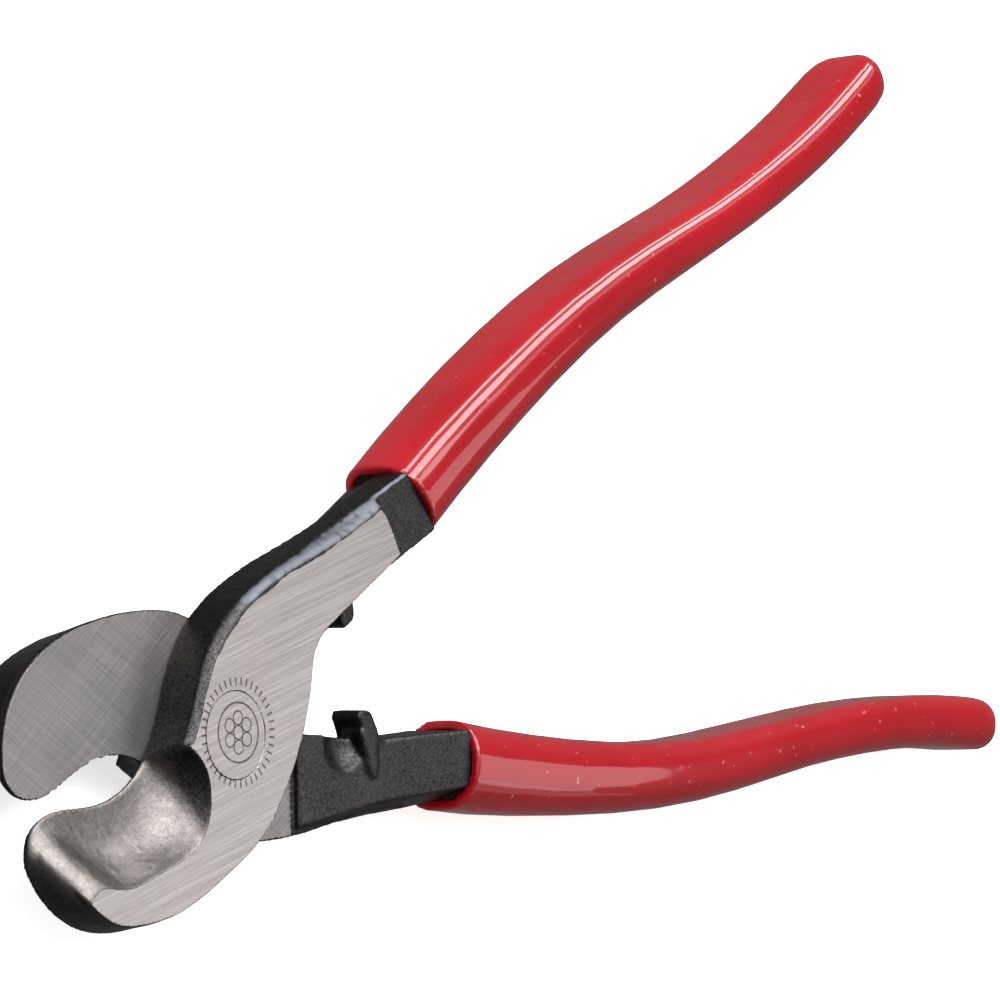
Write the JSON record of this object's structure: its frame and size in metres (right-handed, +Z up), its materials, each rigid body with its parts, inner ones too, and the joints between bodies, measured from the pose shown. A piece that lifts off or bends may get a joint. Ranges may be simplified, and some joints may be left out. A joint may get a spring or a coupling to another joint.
{
  "type": "cable cutter",
  "caption": "High-leverage hand cable cutter with two hooked shear jaws on one rivet and dipped grips.",
  "frame": {"origin": "on the rivet's axis, in the ground face of the back half and of the rivet's end, with the tool lying flat", "axes": "+X along the bisector of the handles, from the pivot to the grips; +Y towards the front half's handle; +Z up, along the rivet"},
  "size_m": [0.2316, 0.122, 0.0168],
  "materials": {
    "front_steel": "forged dark steel with ground bright faces",
    "back_steel": "forged dark steel with ground bright faces",
    "rivet_steel": "ground flush, brushed",
    "front_vinyl": "glossy dipped vinyl",
    "back_vinyl": "glossy dipped vinyl"
  },
  "bodies": {
    "back_side": {"back_half": "back_steel", "pivot_rivet": "rivet_steel", "back_grip": "back_vinyl"},
    "front_side": {"front_half": "front_steel", "front_grip": "front_vinyl"}
  },
  "joints": [
    {"name": "pivot", "type": "hinge", "parent": "back_side", "child": "front_side", "pos_m": [0, 0, 0.00722], "axis": [0, 0, 1], "range_deg": [-21, 34]}
  ]
}
